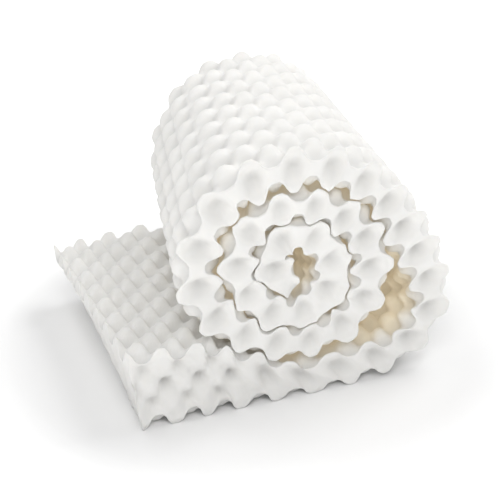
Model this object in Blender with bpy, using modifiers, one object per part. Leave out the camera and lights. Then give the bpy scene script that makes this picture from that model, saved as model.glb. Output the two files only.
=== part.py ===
"""Convoluted foam mattress topper, partly rolled, with its free end lying flat.

The topper is one sheet of foam whose two faces carry staggered rows of bumps. A flat plate is
made and thickened, and then wound along a path that is worked out from the sections named
below: thickest at a bump, thinnest in the hollow between four bumps. Where two turns of the
roll meet, each is pressed back by half. Metres, +Z up, the roll's axis along +Y, the origin in
the middle of the footprint at the level of the floor.
"""
import math

import bmesh
import bpy
import numpy as np

NAME = "mattress_topper"

# Driving sizes of the foam.
PITCH = 0.045              # nominal distance from one bump to the next along the sheet
ROW_PITCH = 0.0465         # distance from one bump to the next across the sheet
ROWS = 8                   # bump pitches across the sheet
BUMPS = 42                 # bump pitches along the sheet
STEPS_PER_PITCH = 2        # one grid point on a bump and one in the hollow beside it

# The roll's place in pitches from the free end and from the floor, and its fit.
ROLL_CENTRE = (5.00, 4.07)
ROLL_LEAN = 0.19           # sideways lean of the roll's axis towards the far edge
TURN_GAP = 0.06            # least gap between two turns, in pitches
PRESSINGS = 12             # how often the turns are pressed apart before they lie still
FOOT_CUT = 0.003           # how much of each bump's tip is flattened where the foam rests

# The free end's cut face, in pitches: its upper edge stands out, its lower edge is drawn in.
OVERHANG_NEAR = 0.50
UNDERCUT_FAR = 1.0
CUT_REACH = 4.0            # how far along the sheet the slant of the cut dies out

FOAM_WHITE = (0.93, 0.92, 0.89)
FOAM_ROUGHNESS = 0.95

# Sections of the flat free end. All lengths are in pitches.
# place: distance from the free end; thick and far_thick: bump top to bump top at the near and
# the far edge; bump: height of a bump; lag: how far the inner face's bumps stay behind the
# outer face's; stretch: how far the foam is drawn out; skew: sideways lean of the sheet towards
# its far edge.
FLAT_COLUMNS = ("place", "thick", "far_thick", "bump", "lag", "stretch", "skew")
FLAT_SECTIONS = (
    (0.00, 2.76, 2.30, 0.46, 0.00, 1.06, -0.06),
    (1.10, 2.68, 2.34, 0.46, 0.22, 1.06, -0.05),
    (2.20, 2.53, 2.36, 0.44, 0.52, 1.07, -0.04),
    (3.20, 2.12, 2.36, 0.40, 0.80, 1.09, -0.02),
    (4.20, 1.70, 2.16, 0.36, 0.92, 1.10, 0.02),
)

# Sections of the roll, from under its middle inwards to the core.
# turn: degrees wound since the bottom of the outer turn; inside and outside: distances of the
# two faces from the roll's centre, halfway up the bumps.
ROLL_COLUMNS = ("turn", "inside", "outside", "bump", "lag", "stretch", "skew")
ROLL_SECTIONS = (
    (4, 2.98, 4.02, 0.34, 0.90, 1.10, 0.04),
    (27, 3.28, 4.32, 0.34, 0.60, 1.10, 0.06),
    (48, 4.08, 5.02, 0.38, 0.30, 1.06, 0.08),
    (66, 4.10, 5.03, 0.38, 0.10, 1.02, 0.10),
    (86, 3.24, 4.30, 0.42, 0.00, 1.00, 0.12),
    (104, 2.72, 3.82, 0.46, 0.00, 1.02, 0.13),
    (125, 2.68, 3.57, 0.46, 0.00, 1.06, 0.14),
    (155, 2.69, 3.59, 0.46, 0.00, 1.14, 0.17),
    (184, 2.82, 3.74, 0.46, 0.00, 1.18, 0.20),
    (220, 3.08, 4.10, 0.46, 0.00, 1.20, 0.24),
    (253, 2.94, 3.88, 0.46, 0.00, 1.20, 0.24),
    (275, 2.56, 3.56, 0.44, 0.00, 1.16, 0.24),
    (296, 2.19, 3.12, 0.38, 0.00, 1.12, 0.23),
    (320, 1.99, 2.78, 0.32, 0.00, 1.08, 0.21),
    (349, 1.84, 2.70, 0.32, 0.00, 1.06, 0.18),
    (372, 1.79, 2.66, 0.36, 0.00, 1.04, 0.16),
    (392, 1.80, 2.80, 0.38, 0.00, 1.02, 0.15),
    (418, 1.71, 2.76, 0.40, 0.00, 1.00, 0.15),
    (446, 1.60, 2.62, 0.42, 0.00, 1.00, 0.15),
    (464, 1.52, 2.52, 0.42, 0.00, 1.00, 0.15),
    (495, 1.49, 2.36, 0.42, 0.00, 1.00, 0.17),
    (525, 1.57, 2.40, 0.40, 0.00, 1.02, 0.18),
    (545, 1.75, 2.50, 0.38, 0.00, 1.03, 0.20),
    (560, 1.85, 2.60, 0.36, 0.00, 1.04, 0.22),
    (585, 1.89, 2.76, 0.36, 0.00, 1.04, 0.24),
    (603, 1.83, 2.68, 0.36, 0.00, 1.04, 0.24),
    (615, 1.61, 2.61, 0.36, 0.00, 1.04, 0.24),
    (628, 1.47, 2.38, 0.34, 0.00, 1.02, 0.23),
    (645, 1.23, 2.15, 0.32, 0.00, 1.00, 0.22),
    (665, 1.07, 2.01, 0.30, 0.00, 1.00, 0.21),
    (690, 0.97, 1.86, 0.28, 0.00, 1.00, 0.20),
    (705, 0.90, 1.77, 0.26, 0.00, 0.98, 0.19),
    (722, 0.72, 1.70, 0.22, 0.00, 0.98, 0.19),
    (750, 0.48, 1.65, 0.20, 0.00, 0.98, 0.19),
    (780, 0.38, 1.53, 0.22, 0.00, 0.96, 0.19),
    (825, 0.38, 1.37, 0.22, 0.00, 0.96, 0.19),
    (860, 0.48, 1.39, 0.22, 0.00, 0.96, 0.19),
    (885, 0.63, 1.49, 0.22, 0.00, 0.96, 0.19),
    (905, 0.76, 1.63, 0.22, 0.00, 0.96, 0.19),
    (930, 0.90, 1.77, 0.22, 0.00, 0.96, 0.19),
    (960, 0.72, 1.70, 0.22, 0.00, 0.96, 0.19),
    (990, 0.30, 1.34, 0.20, 0.00, 0.96, 0.19),
    (1015, 0.26, 1.00, 0.16, 0.00, 0.96, 0.19),
    (1040, 0.32, 0.84, 0.12, 0.00, 0.96, 0.19),
)
SAMPLES_PER_SECTION = 24

# The columns of a path: what is read at each step along the sheet.
ACROSS, UP, THICK, FAR_THICK, BUMP, LAG, STRETCH, SKEW = range(8)


def clear_scene():
    """Remove every object of the start-up scene."""
    for item in list(bpy.data.objects):
        bpy.data.objects.remove(item, do_unlink=True)


def path_knots():
    """Return the path's knots, in pitches, in the path's columns."""
    foot = FOOT_CUT / PITCH
    knots = []
    for values in FLAT_SECTIONS:
        section = dict(zip(FLAT_COLUMNS, values))
        up = section["thick"] / 2 - foot
        knots.append((section["place"], up, section["thick"], section["far_thick"],
                      section["bump"], section["lag"], section["stretch"], section["skew"]))
    for values in ROLL_SECTIONS:
        section = dict(zip(ROLL_COLUMNS, values))
        angle = math.radians(section["turn"] - 90)
        reach = (section["inside"] + section["outside"]) / 2
        thick = section["outside"] - section["inside"] + section["bump"]
        across = ROLL_CENTRE[0] + reach * math.cos(angle)
        up = ROLL_CENTRE[1] + reach * math.sin(angle)
        knots.append((across, up, thick, thick, section["bump"], section["lag"],
                      section["stretch"], section["skew"]))
    return np.array(knots)


def smooth_path(knots):
    """Draw a centripetal Catmull-Rom curve through the knots, every column alike."""
    padded = np.vstack([2 * knots[0] - knots[1], knots, 2 * knots[-1] - knots[-2]])
    path = []
    for index in range(1, len(padded) - 2):
        four = padded[index - 1:index + 3]
        gaps = np.sqrt(np.linalg.norm(np.diff(four[:, :2], axis=0), axis=1))
        times = np.concatenate([[0.0], np.cumsum(gaps)])
        for share in np.arange(SAMPLES_PER_SECTION) / SAMPLES_PER_SECTION:
            now = times[1] + share * (times[2] - times[1])
            level = list(four)
            for order in (1, 2, 3):
                level = [
                    (level[k] * (times[k + order] - now) + level[k + 1] * (now - times[k]))
                    / (times[k + order] - times[k])
                    for k in range(len(level) - 1)
                ]
            path.append(level[0])
    path.append(padded[-2])
    return np.array(path)


def sections_at_grid(path):
    """Read the path at each grid step, spaced evenly in bumps rather than in length."""
    steps = np.linalg.norm(np.diff(path[:, :2], axis=0), axis=1)
    stretch = (path[1:, STRETCH] + path[:-1, STRETCH]) / 2
    count = np.concatenate([[0.0], np.cumsum(steps / stretch)])
    wanted = np.linspace(0.0, count[-1], BUMPS * STEPS_PER_PITCH + 1)
    return np.column_stack([np.interp(wanted, count, path[:, k]) for k in range(path.shape[1])])


def wound_faces(sections):
    """Place the sheet's inner and outer face along the path, in pitches, before any pressing.

    Both come back as arrays over the steps along and across the sheet, with across, out and up.
    """
    columns = np.arange(len(sections))
    lines = np.arange(ROWS * STEPS_PER_PITCH + 1)
    share = lines / lines[-1]
    out = lines / STEPS_PER_PITCH * ROW_PITCH / PITCH
    tangent = np.gradient(sections[:, [ACROSS, UP]], axis=0)
    tangent /= np.linalg.norm(tangent, axis=1)[:, None]
    in_hollow = (columns[:, None] + lines[None, :]) % 2
    half = sections[:, THICK, None] / 2 - sections[:, BUMP, None] * in_hollow
    fuller = (sections[:, FAR_THICK] - sections[:, THICK])[:, None] * share[None, :]
    lag = sections[:, LAG, None]
    faces = []
    for lift, behind in ((half + fuller, lag), (-half, 0 * lag)):
        across = sections[:, ACROSS, None] - tangent[:, 1, None] * lift
        across = across - tangent[:, 0, None] * behind + sections[:, SKEW, None] * out[None, :]
        up = sections[:, UP, None] + tangent[:, 0, None] * lift - tangent[:, 1, None] * behind
        faces.append(np.stack([across, np.broadcast_to(out, across.shape), up], axis=-1))
    return faces


def slant_free_end(inner, outer):
    """Draw the free end's upper edge out and its lower edge in."""
    steps = np.arange(len(inner)) / STEPS_PER_PITCH
    fade = np.clip(1 - steps / CUT_REACH, 0.0, 1.0)[:, None] ** 2
    share = np.linspace(0.0, 1.0, inner.shape[1])[None, :]
    inner[:, :, 0] -= OVERHANG_NEAR * (1 - share) * fade
    outer[:, :, 0] += UNDERCUT_FAR * share * fade


def winding(face, line):
    """Return one line's angle wound and distance from the roll's axis, step by step."""
    away_across = face[:, line, 0] - ROLL_CENTRE[0] - ROLL_LEAN * face[:, line, 1]
    away_up = face[:, line, 2] - ROLL_CENTRE[1]
    angle = np.unwrap(np.arctan2(away_up, away_across))
    return np.maximum.accumulate(angle), np.hypot(away_across, away_up)


def press_turns(inner, outer):
    """Press two turns back by half each wherever they are closer than the turn gap."""
    for line in list(range(inner.shape[1])) * PRESSINGS:
        inner_angle, inner_reach = winding(inner, line)
        outer_angle, outer_reach = winding(outer, line)
        next_reach = np.interp(inner_angle + 2 * math.pi, outer_angle, outer_reach, right=0.0)
        last_reach = np.interp(outer_angle - 2 * math.pi, inner_angle, inner_reach, left=np.inf)
        outwards = np.clip(TURN_GAP + next_reach - inner_reach, 0.0, None) / 2
        inwards = np.clip(TURN_GAP + outer_reach - last_reach, 0.0, None) / 2
        inner[:, line, 0] += outwards * np.cos(inner_angle)
        inner[:, line, 2] += outwards * np.sin(inner_angle)
        outer[:, line, 0] -= inwards * np.cos(outer_angle)
        outer[:, line, 2] -= inwards * np.sin(outer_angle)


def foam_material():
    """Make the foam's matt white finish."""
    material = bpy.data.materials.new("white_foam")
    material.use_nodes = True
    shader = material.node_tree.nodes["Principled BSDF"]
    shader.inputs["Base Color"].default_value = (*FOAM_WHITE, 1.0)
    shader.inputs["Roughness"].default_value = FOAM_ROUGHNESS
    shader.inputs["Metallic"].default_value = 0.0
    return material


def split_across_bumps(grid, columns, lines):
    """Split each square from hollow to hollow, so that every bump becomes a pyramid."""
    leaning = {0: [], 1: []}
    for face in grid.faces:
        corner = min(face.verts, key=lambda vertex: vertex.co.x + vertex.co.y)
        column = round((corner.co.x + 0.5) * columns)
        line = round((corner.co.y + 0.5) * lines)
        turned = list(face.verts).index(corner) % 2
        leaning[(column + line + turned) % 2].append(face)
    bmesh.ops.triangulate(grid, faces=leaning[0], quad_method="ALTERNATE")
    bmesh.ops.triangulate(grid, faces=leaning[1], quad_method="FIXED")


def flat_plate(collection):
    """Make the flat plate of foam, one unit long, wide and thick, thickened from a grid."""
    columns = BUMPS * STEPS_PER_PITCH
    lines = ROWS * STEPS_PER_PITCH
    grid = bmesh.new()
    bmesh.ops.create_grid(grid, x_segments=columns, y_segments=lines, size=0.5)
    split_across_bumps(grid, columns, lines)
    surface = bpy.data.meshes.new("plate")
    grid.to_mesh(surface)
    grid.free()
    plate = bpy.data.objects.new("plate", surface)
    collection.objects.link(plate)
    solid = plate.modifiers.new("thickness", "SOLIDIFY")
    solid.thickness = 1.0
    solid.offset = 0.0
    bpy.context.view_layer.update()
    finished = plate.evaluated_get(bpy.context.evaluated_depsgraph_get())
    thickened = bpy.data.meshes.new_from_object(finished)
    bpy.data.objects.remove(plate, do_unlink=True)
    return thickened


def wound_sheet(collection):
    """Wind the flat plate into the roll and its free end."""
    inner, outer = wound_faces(sections_at_grid(smooth_path(path_knots())))
    slant_free_end(inner, outer)
    press_turns(inner, outer)
    mesh = flat_plate(collection)
    mesh.name = NAME
    for vertex in mesh.vertices:
        column = round((vertex.co.x + 0.5) * BUMPS * STEPS_PER_PITCH)
        line = round((vertex.co.y + 0.5) * ROWS * STEPS_PER_PITCH)
        face = inner if vertex.co.z > 0 else outer
        vertex.co = face[column, line] * PITCH
    mesh.materials.clear()
    mesh.materials.append(foam_material())
    topper = bpy.data.objects.new(NAME, mesh)
    collection.objects.link(topper)
    return topper


def flatten_feet(topper, cutters):
    """Cut the lowest bump tips level with the floor, so that the foam rests on flats."""
    depth = 0.1
    bpy.ops.mesh.primitive_cube_add(size=1.0, location=(0.0, 0.0, -depth / 2))
    floor = bpy.context.active_object
    floor.name = "floor_cutter"
    floor.scale = (3.0, 3.0, depth)
    floor.hide_render = True
    floor.display_type = "WIRE"
    for owner in list(floor.users_collection):
        owner.objects.unlink(floor)
    cutters.objects.link(floor)
    cut = topper.modifiers.new("feet", "BOOLEAN")
    cut.operation = "DIFFERENCE"
    cut.solver = "EXACT"
    cut.object = floor


def centre_on_footprint(topper):
    """Move the topper so that its footprint's middle is at the origin."""
    bpy.context.view_layer.update()
    finished = topper.evaluated_get(bpy.context.evaluated_depsgraph_get())
    corners = np.array([tuple(corner) for corner in finished.bound_box])
    middle = (corners.min(axis=0) + corners.max(axis=0)) / 2
    topper.location = (-middle[0], -middle[1], 0.0)


def main():
    """Build the topper."""
    clear_scene()
    collection = bpy.data.collections.new(NAME)
    cutters = bpy.data.collections.new("cutters")
    bpy.context.scene.collection.children.link(collection)
    bpy.context.scene.collection.children.link(cutters)
    topper = wound_sheet(collection)
    flatten_feet(topper, cutters)
    centre_on_footprint(topper)


main()
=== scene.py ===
"""Convoluted foam mattress topper, partly rolled: the looks of the foam and its plain studio.

The foam is one sheet whose two faces carry staggered bumps and whose cut edges are dimpled by
the same profile. The sheet follows the wound path of the solid that it replaces.
"""

import logging
import math
from dataclasses import dataclass, field
from enum import Enum

import bmesh
import bpy
import numpy as np
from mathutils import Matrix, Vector, noise

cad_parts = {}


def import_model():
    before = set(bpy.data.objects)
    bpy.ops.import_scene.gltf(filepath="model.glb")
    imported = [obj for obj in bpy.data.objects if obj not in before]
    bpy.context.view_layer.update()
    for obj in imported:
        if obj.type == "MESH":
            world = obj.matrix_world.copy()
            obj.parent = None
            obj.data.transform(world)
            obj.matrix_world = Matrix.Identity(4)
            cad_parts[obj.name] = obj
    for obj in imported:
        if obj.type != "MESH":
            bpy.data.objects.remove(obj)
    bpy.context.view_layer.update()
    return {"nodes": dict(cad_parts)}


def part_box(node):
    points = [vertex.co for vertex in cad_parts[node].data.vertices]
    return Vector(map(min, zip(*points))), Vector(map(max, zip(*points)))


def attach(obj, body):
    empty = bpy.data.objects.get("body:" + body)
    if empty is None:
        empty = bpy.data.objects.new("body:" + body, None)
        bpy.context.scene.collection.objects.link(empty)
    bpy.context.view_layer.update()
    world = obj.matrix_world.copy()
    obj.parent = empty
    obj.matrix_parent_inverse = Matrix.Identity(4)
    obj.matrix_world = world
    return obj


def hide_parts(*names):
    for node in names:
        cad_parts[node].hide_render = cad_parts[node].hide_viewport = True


LOG = logging.getLogger("mattress_topper")
NODE = "mattress_topper"
BODY = "root"
SHELTER = "shelter"
HOLLOW = "hollow"
STRETCH_COLUMN = 6


class Edge(Enum):
    """The four cut edges of the sheet."""

    FREE_END = "free_end"
    CORE_END = "core_end"
    NEAR_SIDE = "near_side"
    FAR_SIDE = "far_side"


LONG_SIDES = frozenset({Edge.NEAR_SIDE, Edge.FAR_SIDE})


@dataclass(frozen=True)
class FlatSection:
    """One section of the sheet's flat free end, in pitches.

    place is the distance from the free end, thick and far_thick the foam from bump top to bump
    top at the near and the far edge, bump the height of a bump, lag how far the inner face's
    bumps stay behind the outer face's, stretch how far the foam is drawn out, and skew its
    sideways lean.
    """

    place: float
    thick: float
    far_thick: float
    bump: float
    lag: float
    stretch: float
    skew: float


@dataclass(frozen=True)
class RollSection:
    """One section of the roll, in pitches.

    turn is the angle in degrees wound since the bottom of the outer turn, and inside and
    outside the distances of the two faces from the roll's centre, halfway up the bumps. The
    others are as in a flat section.
    """

    turn: float
    inside: float
    outside: float
    bump: float
    lag: float
    stretch: float
    skew: float


FLAT_SECTIONS = (
    FlatSection(0.00, 2.76, 2.30, 0.46, 0.00, 1.06, -0.06),
    FlatSection(1.10, 2.68, 2.34, 0.46, 0.22, 1.06, -0.05),
    FlatSection(2.20, 2.53, 2.36, 0.44, 0.52, 1.07, -0.04),
    FlatSection(3.20, 2.12, 2.36, 0.40, 0.80, 1.09, -0.02),
    FlatSection(4.20, 1.70, 2.16, 0.36, 0.92, 1.10, 0.02),
)

ROLL_SECTIONS = (
    RollSection(4, 2.98, 4.02, 0.34, 0.90, 1.10, 0.04),
    RollSection(27, 3.28, 4.32, 0.34, 0.60, 1.10, 0.06),
    RollSection(48, 4.08, 5.02, 0.38, 0.30, 1.06, 0.08),
    RollSection(66, 4.10, 5.03, 0.38, 0.10, 1.02, 0.10),
    RollSection(86, 3.24, 4.30, 0.42, 0.00, 1.00, 0.12),
    RollSection(104, 2.72, 3.82, 0.46, 0.00, 1.02, 0.13),
    RollSection(125, 2.68, 3.57, 0.46, 0.00, 1.06, 0.14),
    RollSection(155, 2.69, 3.59, 0.46, 0.00, 1.14, 0.17),
    RollSection(184, 2.82, 3.74, 0.46, 0.00, 1.18, 0.20),
    RollSection(220, 3.08, 4.10, 0.46, 0.00, 1.20, 0.24),
    RollSection(253, 2.94, 3.88, 0.46, 0.00, 1.20, 0.24),
    RollSection(275, 2.56, 3.56, 0.44, 0.00, 1.16, 0.24),
    RollSection(296, 2.19, 3.12, 0.38, 0.00, 1.12, 0.23),
    RollSection(320, 1.99, 2.78, 0.32, 0.00, 1.08, 0.21),
    RollSection(349, 1.84, 2.70, 0.32, 0.00, 1.06, 0.18),
    RollSection(372, 1.79, 2.66, 0.36, 0.00, 1.04, 0.16),
    RollSection(392, 1.80, 2.80, 0.38, 0.00, 1.02, 0.15),
    RollSection(418, 1.71, 2.76, 0.40, 0.00, 1.00, 0.15),
    RollSection(446, 1.60, 2.62, 0.42, 0.00, 1.00, 0.15),
    RollSection(464, 1.52, 2.52, 0.42, 0.00, 1.00, 0.15),
    RollSection(495, 1.49, 2.36, 0.42, 0.00, 1.00, 0.17),
    RollSection(525, 1.57, 2.40, 0.40, 0.00, 1.02, 0.18),
    RollSection(545, 1.75, 2.50, 0.38, 0.00, 1.03, 0.20),
    RollSection(560, 1.85, 2.60, 0.36, 0.00, 1.04, 0.22),
    RollSection(585, 1.89, 2.76, 0.36, 0.00, 1.04, 0.24),
    RollSection(603, 1.83, 2.68, 0.36, 0.00, 1.04, 0.24),
    RollSection(615, 1.61, 2.61, 0.36, 0.00, 1.04, 0.24),
    RollSection(628, 1.47, 2.38, 0.34, 0.00, 1.02, 0.23),
    RollSection(645, 1.23, 2.15, 0.32, 0.00, 1.00, 0.22),
    RollSection(665, 1.07, 2.01, 0.30, 0.00, 1.00, 0.21),
    RollSection(690, 0.97, 1.86, 0.28, 0.00, 1.00, 0.20),
    RollSection(705, 0.90, 1.77, 0.26, 0.00, 0.98, 0.19),
    RollSection(722, 0.72, 1.70, 0.22, 0.00, 0.98, 0.19),
    RollSection(750, 0.48, 1.65, 0.20, 0.00, 0.98, 0.19),
    RollSection(780, 0.38, 1.53, 0.22, 0.00, 0.96, 0.19),
    RollSection(825, 0.38, 1.37, 0.22, 0.00, 0.96, 0.19),
    RollSection(860, 0.48, 1.39, 0.22, 0.00, 0.96, 0.19),
    RollSection(885, 0.63, 1.49, 0.22, 0.00, 0.96, 0.19),
    RollSection(905, 0.76, 1.63, 0.22, 0.00, 0.96, 0.19),
    RollSection(930, 0.90, 1.77, 0.22, 0.00, 0.96, 0.19),
    RollSection(960, 0.72, 1.70, 0.22, 0.00, 0.96, 0.19),
    RollSection(990, 0.30, 1.34, 0.20, 0.00, 0.96, 0.19),
    RollSection(1015, 0.26, 1.00, 0.16, 0.00, 0.96, 0.19),
    RollSection(1040, 0.32, 0.84, 0.12, 0.00, 0.96, 0.19),
)


@dataclass
class Stations:
    """What the wound path gives at each step along the sheet.

    Lengths are in pitches and turn in degrees. The tangent runs towards the core, and the
    normal points from the outer face to the inner one.
    """

    across: np.ndarray
    up: np.ndarray
    thick: np.ndarray
    far_thick: np.ndarray
    bump: np.ndarray
    lag: np.ndarray
    skew: np.ndarray
    turn: np.ndarray
    tangent: np.ndarray
    normal: np.ndarray


@dataclass
class WoundPath:
    """The line that the middle of the foam follows, from the free end to the core.

    pitch and foot, how far the lowest bumps are flattened, are in metres. centre is the roll's
    axis in pitches, flat_turn the turn in degrees that stands for the flat end, and samples the
    points drawn between two knots.
    """

    pitch: float = 0.045
    bumps: int = 42
    centre: tuple[float, float] = (5.00, 4.07)
    flat_turn: float = -60.0
    foot: float = 0.003
    samples: int = 24

    def knots(self) -> np.ndarray:
        """Work out the path's knots from the named sections.

        Returns:
            Rows of across, up, thick, far thick, bump, lag, stretch, skew and turn.
        """
        rows = []
        for flat in FLAT_SECTIONS:
            up = flat.thick / 2 - self.foot / self.pitch
            rows.append((flat.place, up, flat.thick, flat.far_thick, flat.bump, flat.lag,
                         flat.stretch, flat.skew, self.flat_turn))
        for part in ROLL_SECTIONS:
            angle = math.radians(part.turn - 90)
            reach = (part.inside + part.outside) / 2
            thick = part.outside - part.inside + part.bump
            across = self.centre[0] + reach * math.cos(angle)
            up = self.centre[1] + reach * math.sin(angle)
            rows.append((across, up, thick, thick, part.bump, part.lag, part.stretch,
                         part.skew, part.turn))
        return np.array(rows)

    def curve(self) -> np.ndarray:
        """Draw a centripetal Catmull-Rom curve through the knots.

        Returns:
            Closely spaced rows with the same columns as the knots.
        """
        knots = self.knots()
        padded = np.vstack([2 * knots[0] - knots[1], knots, 2 * knots[-1] - knots[-2]])
        rows = []
        for index in range(1, len(padded) - 2):
            four = padded[index - 1:index + 3]
            gaps = np.sqrt(np.linalg.norm(np.diff(four[:, :2], axis=0), axis=1))
            times = np.concatenate([[0.0], np.cumsum(gaps)])
            for share in np.arange(self.samples) / self.samples:
                now = times[1] + share * (times[2] - times[1])
                level = list(four)
                for order in (1, 2, 3):
                    level = [
                        (level[k] * (times[k + order] - now) + level[k + 1] * (now - times[k]))
                        / (times[k + order] - times[k])
                        for k in range(len(level) - 1)
                    ]
                rows.append(level[0])
        rows.append(padded[-2])
        return np.array(rows)

    def stations(self, steps: int) -> Stations:
        """Read the path at even steps, counted in bumps.

        Args:
            steps: Steps for each bump pitch.

        Returns:
            The stations, one for each step and one at the end.
        """
        rows = self.curve()
        spans = np.linalg.norm(np.diff(rows[:, :2], axis=0), axis=1)
        stretch = (rows[1:, STRETCH_COLUMN] + rows[:-1, STRETCH_COLUMN]) / 2
        count = np.concatenate([[0.0], np.cumsum(spans / stretch)])
        wanted = np.linspace(0.0, count[-1], self.bumps * steps + 1)
        read = np.column_stack([np.interp(wanted, count, column) for column in rows.T])
        tangent = np.gradient(read[:, :2], axis=0)
        tangent /= np.linalg.norm(tangent, axis=1)[:, None]
        normal = np.column_stack([-tangent[:, 1], tangent[:, 0]])
        across, up, thick, far_thick, bump, lag, _, skew, turn = read.T
        return Stations(across, up, thick, far_thick, bump, lag, skew, turn, tangent, normal)


def smooth_step(value: np.ndarray, low: float, high: float) -> np.ndarray:
    """Return 0 below low and 1 above high, with a soft rise between them."""
    share = np.clip((value - low) / (high - low), 0.0, 1.0)
    return share * share * (3 - 2 * share)


def mark_points(mesh: bpy.types.Mesh, name: str, values: np.ndarray) -> None:
    """Store one number for each point of a mesh, under the given name."""
    mark = mesh.attributes.new(name, "FLOAT", "POINT")
    mark.data.foreach_set("value", values.astype(np.float32))


@dataclass(frozen=True)
class EdgeDimples:
    """The dimples of the cut edges and the rounding of their rims, in pitches.

    depth and rise are the dimples' depth and the height that two of their rows take. The foam
    is fluffed up at the flat end: where its half thickness passes full_span, the dimples are
    closer, narrower and fade less in the hollows of the rim. The rim is rounded from rim_start,
    a share of the half thickness, outwards. Near a corner the dimples are shallower.
    """

    depth: float = 0.48
    rise: float = 1.42
    fade: float = 0.6
    plain_half: float = 0.78
    deepest: float = 1.25
    full_span: tuple[float, float] = (0.85, 1.05)
    full_closer: float = 0.14
    full_narrower: float = 0.4
    full_fade: float = 1.4
    full_middle: float = 0.95
    rim_round: float = 0.09
    rim_start: float = 0.80
    rim_steepest: float = 0.98
    corner_calm: float = 0.5
    corner_reach: float = 0.7

    def fullness(self, thick: float) -> float:
        """Say how far the foam is fluffed up, 0 in the roll and 1 at the flat end."""
        return float(smooth_step(thick / 2, *self.full_span))

    def hollowness(self, along: float, height: np.ndarray, level: np.ndarray,
                   full: float) -> np.ndarray:
        """Give how hollow a cut edge is, from 0 on its ridges to 1 in its dimples.

        Args:
            along: Distance along the edge in bump pitches.
            height: Heights above the middle of the foam in pitches.
            level: The same heights as shares of the foam's half thickness.
            full: How far the foam is fluffed up.

        Returns:
            The hollowness at each height.
        """
        rise = self.rise * (1 - self.full_closer * full)
        wave = math.cos(2 * math.pi * along) * np.cos(2 * math.pi * height / rise)
        power = self.fade + full * self.full_fade * (np.abs(height).max() - self.full_middle)
        fade = np.clip(1 - level ** 2, 0.0, 1.0) ** power
        return ((1 + wave) / 2) ** (1 + self.full_narrower * full) * fade

    def reach(self, half: float, full: float) -> float:
        """Give how deep the dimples go where the foam has this half thickness."""
        return self.depth * min(self.deepest, max(half, full) / self.plain_half)

    def rim(self, level: np.ndarray) -> np.ndarray:
        """Give how far the edge is drawn in where it meets a bumped face."""
        share = np.clip((np.abs(level) - self.rim_start) / (1 - self.rim_start), 0.0, 1.0)
        return self.rim_round * (1 - np.sqrt(1 - share ** 2 * self.rim_steepest))

    def near_corner(self, edges: set[Edge], from_corner: float) -> float:
        """Give the share of their depth that the dimples keep this close to a corner."""
        kept = self.corner_calm if len(edges) > 1 else 1.0
        return kept * min(1.0, self.corner_calm + from_corner / self.corner_reach)


@dataclass(frozen=True)
class Unevenness:
    """Slow random changes of the bumps' height, as shares, and of the sheet's lie, in pitches."""

    height: float = 0.07
    height_seed: float = 3.7
    lie: float = 0.02
    lie_seed: float = 9.1
    lie_along: float = 0.5
    lie_out: float = 0.35
    fineness: float = 0.9

    def change(self, along: np.ndarray, out: np.ndarray, seed: float) -> np.ndarray:
        """Give a slow random change, about -1 to 1, that never differs between runs."""
        change = np.empty(along.shape)
        for place in np.ndindex(along.shape):
            spot = Vector((along[place] * self.fineness, out[place] * self.fineness, seed))
            change[place] = noise.noise(spot)
        return change

    def bump_factor(self, along: np.ndarray, out: np.ndarray) -> np.ndarray:
        """Give the factor by which each point's bump is higher or lower than the plain one."""
        return 1 + self.height * self.change(along, out, self.height_seed)

    def lie_at(self, along: np.ndarray, out: np.ndarray) -> np.ndarray:
        """Give how far the sheet lies above or below its plain path."""
        return self.lie * self.change(along * self.lie_along, out * self.lie_out, self.lie_seed)


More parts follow.
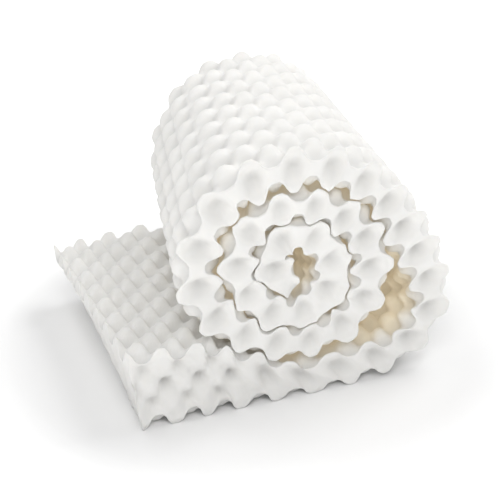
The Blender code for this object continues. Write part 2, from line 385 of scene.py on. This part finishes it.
@dataclass
class FoamSheet:
    """The bumped sheet of foam, wound along its path.

    Lengths are in pitches, but row_pitch is in metres and inner_turns and outer_turns are in
    degrees. A pair of numbers says where a soft change starts and ends.

    steps is the grid's steps for each bump. Away from the near rim the outer bumps are lower by
    outer_calm, and beside the free end the underside's hollows are filled. The free end's upper
    edge hangs over by overhang_near, and its lower edge is undercut by undercut_far, each
    fading over cut_reach. roll_lean is how far the roll's axis runs sideways, and turns closer
    than turn_gap are pressed apart, pressings times over.
    """

    path: WoundPath = field(default_factory=WoundPath)
    dimples: EdgeDimples = field(default_factory=EdgeDimples)
    uneven: Unevenness = field(default_factory=Unevenness)
    rows: int = 8
    row_pitch: float = 0.0465
    steps: int = 10
    edge_layers: int = 12
    tip_power: float = 1.15
    outer_calm: float = 0.38
    outer_calm_from: tuple[float, float] = (0.5, 1.3)
    flat_rim: tuple[float, float] = (0.3, 1.2)
    flat_end: tuple[float, float] = (0.0, 1.2)
    end_calm: float = 0.2
    overhang_near: float = 0.50
    undercut_far: float = 1.3
    cut_reach: float = 4.0
    roll_lean: float = 0.19
    turn_gap: float = 0.05
    pressings: int = 8
    shelter_depth: tuple[float, float] = (0.0, 0.9)
    inner_turns: tuple[float, float] = (-50.0, 10.0)
    outer_turns: tuple[float, float] = (265.0, 330.0)

    def lines(self) -> tuple[np.ndarray, np.ndarray]:
        """Give the grid's distances along and across the sheet, in bump pitches."""
        along = np.arange(self.path.bumps * self.steps + 1) / self.steps
        out = np.arange(self.rows * self.steps + 1) / self.steps
        return along, out

    def bump_shape(self, along: np.ndarray, out: np.ndarray) -> np.ndarray:
        """Give the staggered bumps, from -1 in a hollow to 1 on a tip.

        Args:
            along: Distance along the sheet in bump pitches.
            out: Distance across the sheet in bump pitches.

        Returns:
            The shape at each point.
        """
        wave = np.cos(2 * math.pi * along) * np.cos(2 * math.pi * out)
        rise = ((1 + wave) / 2) ** self.tip_power
        return 2 * rise * rise * (3 - 2 * rise) - 1

    def faces_at(self) -> tuple[np.ndarray, np.ndarray, np.ndarray, Stations]:
        """Place the two bumped faces.

        Returns:
            Points of the inner face, points of the outer face, half thickness and stations.
        """
        stations = self.path.stations(self.steps)
        along, out = self.lines()
        grid_along, grid_out = np.meshgrid(along, out, indexing="ij")
        shape = self.bump_shape(grid_along, grid_out)
        vary = self.uneven.bump_factor(grid_along, grid_out)
        hollow = stations.bump[:, None] * vary * (1 - shape) / 2
        half = stations.thick[:, None] / 2 - hollow
        lie = self.uneven.lie_at(grid_along, grid_out)
        middle = self.middle_at(stations, out)
        normal = np.stack([stations.normal[:, 0], 0 * stations.turn, stations.normal[:, 1]], -1)
        share = out[None, :] / self.rows
        fuller = (stations.far_thick - stations.thick)[:, None] * share
        lift = (half + fuller + lie) * self.path.pitch
        run = np.stack([stations.tangent[:, 0], 0 * stations.turn, stations.tangent[:, 1]], -1)
        behind = run * (stations.lag * self.path.pitch)[:, None]
        inner = middle + normal[:, None, :] * lift[:, :, None] - behind[:, None, :]
        lower = hollow * self.outer_calm * smooth_step(grid_out, *self.outer_calm_from)
        calm = 1 - smooth_step(grid_along, *self.flat_end)
        filled = hollow * calm * smooth_step(grid_out, *self.flat_rim)
        under = half - lie + lower + filled
        outer = middle - normal[:, None, :] * (under * self.path.pitch)[:, :, None]
        self.slant_free_end(inner, outer, along, share)
        self.press_turns(inner, outer)
        return inner, outer, half, stations

    def slant_free_end(self, inner: np.ndarray, outer: np.ndarray, along: np.ndarray,
                       share: np.ndarray) -> None:
        """Draw the free end's upper edge out and its lower edge in.

        Args:
            inner: Points of the inner face, changed in place.
            outer: Points of the outer face, changed in place.
            along: Distances along the sheet in bump pitches.
            share: Distances across the sheet as shares of its width.
        """
        fade = np.clip(1 - along / self.cut_reach, 0.0, 1.0)[:, None] ** 2
        inner[:, :, 0] -= self.overhang_near * self.path.pitch * (1 - share) * fade
        outer[:, :, 0] += self.undercut_far * self.path.pitch * share * fade

    def winding(self, face: np.ndarray, line: int) -> tuple[np.ndarray, np.ndarray]:
        """Give one line's angle wound and distance from the roll's axis, step by step."""
        pitch = self.path.pitch
        lean = self.roll_lean * face[:, line, 1]
        across = face[:, line, 0] - self.path.centre[0] * pitch - lean
        up = face[:, line, 2] - self.path.centre[1] * pitch
        angle = np.unwrap(np.arctan2(up, across))
        return np.maximum.accumulate(angle), np.hypot(across, up)

    def press_turns(self, inner: np.ndarray, outer: np.ndarray) -> None:
        """Press two turns back by half each wherever they are closer than the turn gap."""
        gap = self.turn_gap * self.path.pitch
        full = 2 * math.pi
        for line in list(range(inner.shape[1])) * self.pressings:
            inner_angle, inner_reach = self.winding(inner, line)
            outer_angle, outer_reach = self.winding(outer, line)
            following = np.interp(inner_angle + full, outer_angle, outer_reach, right=0.0)
            leading = np.interp(outer_angle - full, inner_angle, inner_reach, left=math.inf)
            outwards = np.clip(gap + following - inner_reach, 0.0, None) / 2
            inwards = np.clip(gap + outer_reach - leading, 0.0, None) / 2
            inner[:, line, 0] += outwards * np.cos(inner_angle)
            inner[:, line, 2] += outwards * np.sin(inner_angle)
            outer[:, line, 0] -= inwards * np.cos(outer_angle)
            outer[:, line, 2] -= inwards * np.sin(outer_angle)

    def middle_at(self, stations: Stations, out: np.ndarray) -> np.ndarray:
        """Place the middle of the foam.

        Args:
            stations: The path's stations.
            out: Distances across the sheet in bump pitches.

        Returns:
            A grid of points in metres.
        """
        far = out * self.row_pitch
        pitch = self.path.pitch
        across = stations.across[:, None] * pitch + stations.skew[:, None] * far[None, :]
        side = np.broadcast_to(far[None, :], across.shape)
        up = np.broadcast_to(stations.up[:, None] * pitch, across.shape)
        return np.stack([across, side, up], axis=-1)

    def edge_ring(self) -> list[tuple[int, int]]:
        """List the grid places round the sheet, in order, starting at the free end."""
        last_along = self.path.bumps * self.steps
        last_out = self.rows * self.steps
        near = [(i, 0) for i in range(last_along)]
        core = [(last_along, j) for j in range(last_out)]
        far = [(i, last_out) for i in range(last_along, 0, -1)]
        free = [(0, j) for j in range(last_out, 0, -1)]
        return near + core + far + free

    def edge_of(self, place: tuple[int, int]) -> tuple[set[Edge], float]:
        """Say which cut edges a ring place is on, and its distance along them in pitches."""
        last_along = self.path.bumps * self.steps
        last_out = self.rows * self.steps
        edges = set()
        if place[1] == 0:
            edges.add(Edge.NEAR_SIDE)
        if place[1] == last_out:
            edges.add(Edge.FAR_SIDE)
        if place[0] == 0:
            edges.add(Edge.FREE_END)
        if place[0] == last_along:
            edges.add(Edge.CORE_END)
        return edges, (place[0] if edges & LONG_SIDES else place[1]) / self.steps

    def inward(self, edges: set[Edge], place: tuple[int, int], stations: Stations) -> np.ndarray:
        """Give the direction into the foam at a place on the edge ring."""
        lean = stations.skew[place[0]]
        side = np.array([lean, 1.0, 0.0]) / math.hypot(lean, 1.0)
        tangent = stations.tangent[place[0]]
        run = np.array([tangent[0], 0.0, tangent[1]])
        direction = np.zeros(3)
        if Edge.NEAR_SIDE in edges:
            direction += side
        if Edge.FAR_SIDE in edges:
            direction -= side
        if Edge.FREE_END in edges:
            direction += run
        if Edge.CORE_END in edges:
            direction -= run
        return direction

    def kept_at(self, edges: set[Edge], along: float) -> float:
        """Give the share of their depth that the dimples keep at a place on the edge ring."""
        on_side = bool(edges & LONG_SIDES)
        length = self.path.bumps if on_side else self.rows
        kept = self.dimples.near_corner(edges, min(along, length - along))
        return kept if on_side else kept * self.end_calm

    def cut_edges(self, inner: np.ndarray, outer: np.ndarray, half: np.ndarray,
                  stations: Stations) -> tuple[list[np.ndarray], list[np.ndarray]]:
        """Dimple the cut edges, one column of points for each place on the edge ring.

        Args:
            inner: Points of the inner face, drawn in along its rim.
            outer: Points of the outer face, drawn in along its rim.
            half: Half thickness of the foam at each point of the grid, in pitches.
            stations: The path's stations.

        Returns:
            The columns' points between the two faces, and how hollow each point is.
        """
        levels = -np.cos(np.linspace(0, math.pi, self.edge_layers + 1))
        share = ((levels + 1) / 2)[:, None]
        columns = []
        dips = []
        for place in self.edge_ring():
            edges, along = self.edge_of(place)
            full = self.dimples.fullness(stations.thick[place[0]])
            height = levels * half[place]
            dip = self.dimples.hollowness(along, height, levels, full)
            dip = dip * self.kept_at(edges, along)
            depth = dip * self.dimples.reach(half[place], full) + self.dimples.rim(levels)
            into = self.inward(edges, place, stations)
            column = outer[place] * (1 - share) + inner[place] * share
            column = column + into * (depth * self.path.pitch)[:, None]
            outer[place], inner[place] = column[0], column[-1]
            columns.append(column[1:-1])
            dips.append(dip[1:-1])
        return columns, dips

    def join_points(self, counts: tuple[int, int]) -> list[tuple[int, ...]]:
        """Join the points of both faces and of the cut edges into one closed skin.

        Args:
            counts: Grid points along and across the sheet.

        Returns:
            The skin's faces, as numbers of points.
        """
        total = counts[0] * counts[1]
        faces = []
        for i in range(counts[0] - 1):
            for j in range(counts[1] - 1):
                a = i * counts[1] + j
                b = a + counts[1]
                faces.append((a, b, b + 1, a + 1))
                faces.append((a + total, a + 1 + total, b + 1 + total, b + total))
        between = self.edge_layers - 1
        stacks = []
        for number, (i, j) in enumerate(self.edge_ring()):
            rim = i * counts[1] + j
            first = 2 * total + number * between
            stacks.append([rim + total, *range(first, first + between), rim])
        for stack, following in zip(stacks, stacks[1:] + stacks[:1]):
            for k in range(self.edge_layers):
                faces.append((stack[k], following[k], following[k + 1], stack[k + 1]))
        return faces

    def build(self) -> bpy.types.Object:
        """Make the foam as one closed mesh.

        Returns:
            The foam's object, with what its finish reads, in the sheet's own place.
        """
        inner, outer, half, stations = self.faces_at()
        counts = inner.shape[:2]
        columns, dips = self.cut_edges(inner, outer, half, stations)
        points = np.concatenate([inner.reshape(-1, 3), outer.reshape(-1, 3), *columns])
        points[:, 2] = np.maximum(points[:, 2], 0.0)
        mesh = bpy.data.meshes.new("foam_topper")
        mesh.from_pydata(points.tolist(), [], self.join_points(counts))
        mesh.validate()
        mesh.shade_smooth()
        self.mark_shelter(mesh, stations)
        self.mark_hollows(mesh, dips)
        return bpy.data.objects.new("foam_topper", mesh)

    def mark_shelter(self, mesh: bpy.types.Mesh, stations: Stations) -> None:
        """Store how deep inside the roll each point lies, which sets the painted warm shade and
        painted glow in the foam's material.

        Args:
            mesh: The foam's mesh.
            stations: The path's stations.
        """
        out = self.lines()[1]
        from_side = np.minimum(out, self.rows - out)
        depth = smooth_step(from_side, *self.shelter_depth)
        inner = smooth_step(stations.turn, *self.inner_turns)[:, None] * depth[None, :]
        outer = smooth_step(stations.turn, *self.outer_turns)[:, None] * depth[None, :]
        edge = np.zeros(len(mesh.vertices) - 2 * inner.size)
        mark_points(mesh, SHELTER, np.concatenate([inner.ravel(), outer.ravel(), edge]))

    def mark_hollows(self, mesh: bpy.types.Mesh, dips: list[np.ndarray]) -> None:
        """Store how far down between the bumps each point lies, which sets the painted shade in
        the foam's material.

        Args:
            mesh: The foam's mesh.
            dips: How hollow the cut edges are, column by column, as shares.
        """
        shape = self.bump_shape(*np.meshgrid(*self.lines(), indexing="ij"))
        face = ((1 - shape) / 2).ravel()
        mark_points(mesh, HOLLOW, np.concatenate([face, face, *dips]))


@dataclass(frozen=True)
class FoamFinish:
    """Matt white open-cell foam, with painted warm shade and a painted glow inside the roll and
    painted shade in the hollows between the bumps and in the edge dimples.
    """

    white: tuple[float, float, float] = (0.88, 0.872, 0.85)
    # Painted shade: the warm tint that the foam takes inside the roll, in place of the shade
    # between its turns.
    painted_shade_tint: tuple[float, float, float] = (0.92, 0.85, 0.70)
    # Painted glow: the colour and strength of a faint warm emission inside the roll, though the
    # foam gives no light.
    painted_glow_colour: tuple[float, float, float] = (1.0, 0.90, 0.74)
    painted_glow_strength: float = 0.10
    # Painted shade: the hollows darken from this depth down to the set tone.
    painted_shade_from: float = 0.4
    painted_shade_tone: float = 0.84
    mottle_scale: float = 14.0
    mottle_detail: float = 3.0
    mottle_range: tuple[float, float] = (0.3, 0.7)
    mottle_tone: float = 0.94
    cell_scale: float = 900.0
    cell_depth: float = 0.00035
    cell_strength: float = 0.35

    def make(self) -> bpy.types.Material:
        """Make the foam's material.

        Returns:
            The node material.
        """
        material = bpy.data.materials.new("white_foam")
        material.use_nodes = True
        tree = material.node_tree
        shader = tree.nodes["Principled BSDF"]
        shader.inputs["Roughness"].default_value = 0.95
        shader.inputs["Metallic"].default_value = 0.0
        shader.inputs["Specular IOR Level"].default_value = 0.25
        shader.inputs["Subsurface Weight"].default_value = 0.10
        shader.inputs["Subsurface Radius"].default_value = (1.0, 0.9, 0.75)
        shader.inputs["Subsurface Scale"].default_value = 0.004
        shader.inputs["Sheen Weight"].default_value = 0.1
        shader.inputs["Sheen Roughness"].default_value = 0.6
        place = tree.nodes.new("ShaderNodeTexCoord").outputs["Object"]
        shelter = tree.nodes.new("ShaderNodeAttribute")
        shelter.attribute_name = SHELTER
        self.colour(tree, place, shelter.outputs["Fac"])
        # Painted glow: a faint warm emission where the roll shelters the foam.
        self.paint_glow(tree, shelter.outputs["Fac"])
        self.cells(tree, place)
        return material

    def colour(self, tree: bpy.types.NodeTree, place: bpy.types.NodeSocket,
               shelter: bpy.types.NodeSocket) -> None:
        """Colour the foam: a painted warm shade inside the roll, painted shade in the hollows and
        a soft random mottle.

        Args:
            tree: The material's nodes.
            place: Where each point is.
            shelter: How deep inside the roll each point lies, which sets the painted warm shade.
        """
        mottle = tree.nodes.new("ShaderNodeTexNoise")
        mottle.inputs["Scale"].default_value = self.mottle_scale
        mottle.inputs["Detail"].default_value = self.mottle_detail
        tree.links.new(place, mottle.inputs["Vector"])
        tint = tree.nodes.new("ShaderNodeMapRange")
        tint.inputs["From Min"].default_value = self.mottle_range[0]
        tint.inputs["From Max"].default_value = self.mottle_range[1]
        tint.inputs["To Min"].default_value = self.mottle_tone
        tint.inputs["To Max"].default_value = 1.0
        tree.links.new(mottle.outputs["Fac"], tint.inputs["Value"])
        # Painted shade: the hollows between the bumps and the edge dimples are darkened in the
        # base colour.
        hollow = tree.nodes.new("ShaderNodeAttribute")
        hollow.attribute_name = HOLLOW
        painted_shade = tree.nodes.new("ShaderNodeMapRange")
        painted_shade.inputs["From Min"].default_value = self.painted_shade_from
        painted_shade.inputs["From Max"].default_value = 1.0
        painted_shade.inputs["To Min"].default_value = 1.0
        painted_shade.inputs["To Max"].default_value = self.painted_shade_tone
        tree.links.new(hollow.outputs["Fac"], painted_shade.inputs["Value"])
        tone = tree.nodes.new("ShaderNodeMath")
        tone.operation = "MULTIPLY"
        tree.links.new(tint.outputs["Result"], tone.inputs[0])
        tree.links.new(painted_shade.outputs["Result"], tone.inputs[1])
        # Painted shade: the base colour turns to the warm tint where the foam lies deep inside
        # the roll.
        base = tree.nodes.new("ShaderNodeMix")
        base.data_type = "RGBA"
        base.inputs["A"].default_value = (*self.white, 1.0)
        base.inputs["B"].default_value = (*self.painted_shade_tint, 1.0)
        tree.links.new(shelter, base.inputs["Factor"])
        toned = tree.nodes.new("ShaderNodeMix")
        toned.data_type = "RGBA"
        toned.blend_type = "MULTIPLY"
        toned.inputs["Factor"].default_value = 1.0
        tree.links.new(base.outputs["Result"], toned.inputs["A"])
        tree.links.new(tone.outputs["Value"], toned.inputs["B"])
        shader = tree.nodes["Principled BSDF"]
        tree.links.new(toned.outputs["Result"], shader.inputs["Base Color"])

    def paint_glow(self, tree: bpy.types.NodeTree, shelter: bpy.types.NodeSocket) -> None:
        """Paint a faint warm glow on the foam where the roll shelters it, as painted light.

        Args:
            tree: The material's nodes.
            shelter: How deep inside the roll each point lies, which sets the painted glow.
        """
        share = tree.nodes.new("ShaderNodeMath")
        share.operation = "MULTIPLY"
        share.inputs[1].default_value = self.painted_glow_strength
        tree.links.new(shelter, share.inputs[0])
        shader = tree.nodes["Principled BSDF"]
        shader.inputs["Emission Color"].default_value = (*self.painted_glow_colour, 1.0)
        tree.links.new(share.outputs["Value"], shader.inputs["Emission Strength"])

    def cells(self, tree: bpy.types.NodeTree, place: bpy.types.NodeSocket) -> None:
        """Roughen the skin with the foam's fine open cells.

        Args:
            tree: The material's nodes.
            place: Where each point is.
        """
        cells = tree.nodes.new("ShaderNodeTexVoronoi")
        cells.inputs["Scale"].default_value = self.cell_scale
        tree.links.new(place, cells.inputs["Vector"])
        relief = tree.nodes.new("ShaderNodeBump")
        relief.inputs["Strength"].default_value = self.cell_strength
        relief.inputs["Distance"].default_value = self.cell_depth
        tree.links.new(cells.outputs["Distance"], relief.inputs["Height"])
        shader = tree.nodes["Principled BSDF"]
        tree.links.new(relief.outputs["Normal"], shader.inputs["Normal"])


@dataclass
class Topper:
    """The mattress topper: its sheet of foam, finished and tied to the frame."""

    sheet: FoamSheet = field(default_factory=FoamSheet)
    finish: FoamFinish = field(default_factory=FoamFinish)

    def build(self) -> bpy.types.Object:
        """Build the foam in the place of its solid.

        Returns:
            The foam's object.
        """
        foam = self.sheet.build()
        foam.data.materials.append(self.finish.make())
        bpy.context.scene.collection.objects.link(foam)
        self.settle(foam)
        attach(foam, BODY)
        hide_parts(NODE)
        return foam

    def settle(self, foam: bpy.types.Object) -> None:
        """Shift the foam's mesh so that its footprint's middle is the solid's."""
        low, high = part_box(NODE)
        count = len(foam.data.vertices)
        points = np.empty(count * 3)
        foam.data.vertices.foreach_get("co", points)
        points = points.reshape(-1, 3)
        own = (points.min(axis=0) + points.max(axis=0)) / 2
        for axis in (0, 1):
            points[:, axis] += (low[axis] + high[axis]) / 2 - own[axis]
        foam.data.vertices.foreach_set("co", points.ravel())
        foam.data.update()


@dataclass
class SoftLight:
    """One soft light panel that faces the foam, in degrees, metres and watts."""

    name: str
    azimuth: float
    elevation: float
    distance: float
    size: float
    power: float

    def build(self, aim: Vector) -> bpy.types.Object:
        """Hang the panel and turn it to its aim.

        Args:
            aim: The point that the panel faces.

        Returns:
            The light's object.
        """
        data = bpy.data.lights.new(self.name, "AREA")
        data.shape = "DISK"
        data.size = self.size
        data.energy = self.power
        light = bpy.data.objects.new(self.name, data)
        light.location = aim + self.distance * direction_from(self.azimuth, self.elevation)
        light.rotation_euler = (aim - light.location).to_track_quat("-Z", "Y").to_euler()
        bpy.context.scene.collection.objects.link(light)
        return light


def direction_from(azimuth: float, elevation: float) -> Vector:
    """Point away from the foam, with azimuth 0 towards -Y, both angles in degrees."""
    turn, rise = math.radians(azimuth), math.radians(elevation)
    return Vector((math.sin(turn) * math.cos(rise), -math.cos(turn) * math.cos(rise),
                   math.sin(rise)))


@dataclass
class Studio:
    """The pale floor, the soft lights and the camera, in metres and degrees.

    aim_across is a share of the frame's width.
    """

    floor_size: float = 14.0
    floor_drop: float = 0.0005
    floor_colour: tuple[float, float, float] = (0.93, 0.93, 0.93)
    far_glow: float = 0.55
    glow_start: float = 0.31
    glow_end: float = 0.56
    sky: float = 0.50
    lit_height: float = 0.18
    lens: float = 93.6
    azimuth: float = -21.86
    elevation: float = 26.8
    distance: float = 1.619
    aim_across: float = 0.339
    aim_in: float = 0.006
    aim_up: float = 0.230

    def aim(self) -> Vector:
        """Give the point that the camera looks at, on the near end of the frame."""
        low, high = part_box(NODE)
        across = low[0] + self.aim_across * (high[0] - low[0])
        return Vector((across, low[1] + self.aim_in, self.aim_up))

    def floor(self) -> bpy.types.Object:
        """Lay the pale floor.

        Returns:
            The floor's object.
        """
        shape = bmesh.new()
        bmesh.ops.create_grid(shape, x_segments=1, y_segments=1, size=self.floor_size / 2)
        mesh = bpy.data.meshes.new("studio_floor")
        shape.to_mesh(mesh)
        shape.free()
        mesh.materials.append(self.floor_finish())
        floor = bpy.data.objects.new("studio_floor", mesh)
        floor.location.z = -self.floor_drop
        bpy.context.scene.collection.objects.link(floor)
        return floor

    def floor_finish(self) -> bpy.types.Material:
        """Make the floor's finish, which brightens away from the foam like a lit backdrop.

        Returns:
            The node material.
        """
        material = bpy.data.materials.new("pale_floor")
        material.use_nodes = True
        nodes = material.node_tree.nodes
        links = material.node_tree.links
        shader = nodes["Principled BSDF"]
        shader.inputs["Base Color"].default_value = (*self.floor_colour, 1.0)
        shader.inputs["Roughness"].default_value = 1.0
        shader.inputs["Specular IOR Level"].default_value = 0.0
        shader.inputs["Emission Color"].default_value = (1.0, 1.0, 1.0, 1.0)
        place = nodes.new("ShaderNodeTexCoord")
        reach = nodes.new("ShaderNodeVectorMath")
        reach.operation = "LENGTH"
        links.new(place.outputs["Object"], reach.inputs[0])
        glow = nodes.new("ShaderNodeMapRange")
        glow.interpolation_type = "SMOOTHSTEP"
        glow.inputs["From Min"].default_value = self.glow_start
        glow.inputs["From Max"].default_value = self.glow_end
        glow.inputs["To Min"].default_value = 0.0
        glow.inputs["To Max"].default_value = self.far_glow
        links.new(reach.outputs["Value"], glow.inputs["Value"])
        links.new(glow.outputs["Result"], shader.inputs["Emission Strength"])
        return material

    def lights(self) -> list[bpy.types.Object]:
        """Hang the lights and set the even light from all round.

        Returns:
            The lights' objects.
        """
        world = bpy.data.worlds.new("studio_sky")
        world.use_nodes = True
        backdrop = world.node_tree.nodes["Background"]
        backdrop.inputs["Color"].default_value = (1.0, 1.0, 1.0, 1.0)
        backdrop.inputs["Strength"].default_value = self.sky
        bpy.context.scene.world = world
        panels = (
            SoftLight("key_panel", 98.0, 58.0, 2.4, 1.3, 21.0),
            SoftLight("back_panel", 225.0, 62.0, 2.4, 1.0, 7.0),
            SoftLight("front_panel", -24.0, 48.0, 2.6, 1.2, 18.0),
        )
        return [panel.build(Vector((0.0, 0.0, self.lit_height))) for panel in panels]

    def camera(self) -> bpy.types.Object:
        """Set the camera up and make it the scene's own.

        Returns:
            The camera's object.
        """
        data = bpy.data.cameras.new("studio_camera")
        data.lens = self.lens
        data.sensor_width = 36.0
        data.clip_end = 50.0
        camera = bpy.data.objects.new("studio_camera", data)
        aim = self.aim()
        camera.location = aim + self.distance * direction_from(self.azimuth, self.elevation)
        camera.rotation_euler = (aim - camera.location).to_track_quat("-Z", "Y").to_euler()
        bpy.context.scene.collection.objects.link(camera)
        bpy.context.scene.camera = camera
        return camera


def main() -> None:
    """Build the studio and the topper, and report each piece."""
    logging.basicConfig(level=logging.INFO, format="%(message)s")
    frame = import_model()
    LOG.info("frame: %s", ", ".join(sorted(frame["nodes"])))
    studio = Studio()
    studio.floor()
    studio.lights()
    studio.camera()
    LOG.info("studio: floor, lights and camera")
    foam = Topper().build()
    LOG.info("%s: %d points, %d faces", foam.name, len(foam.data.vertices),
             len(foam.data.polygons))
    bpy.context.scene.view_settings.view_transform = "Standard"


if __name__ == "__main__":
    main()
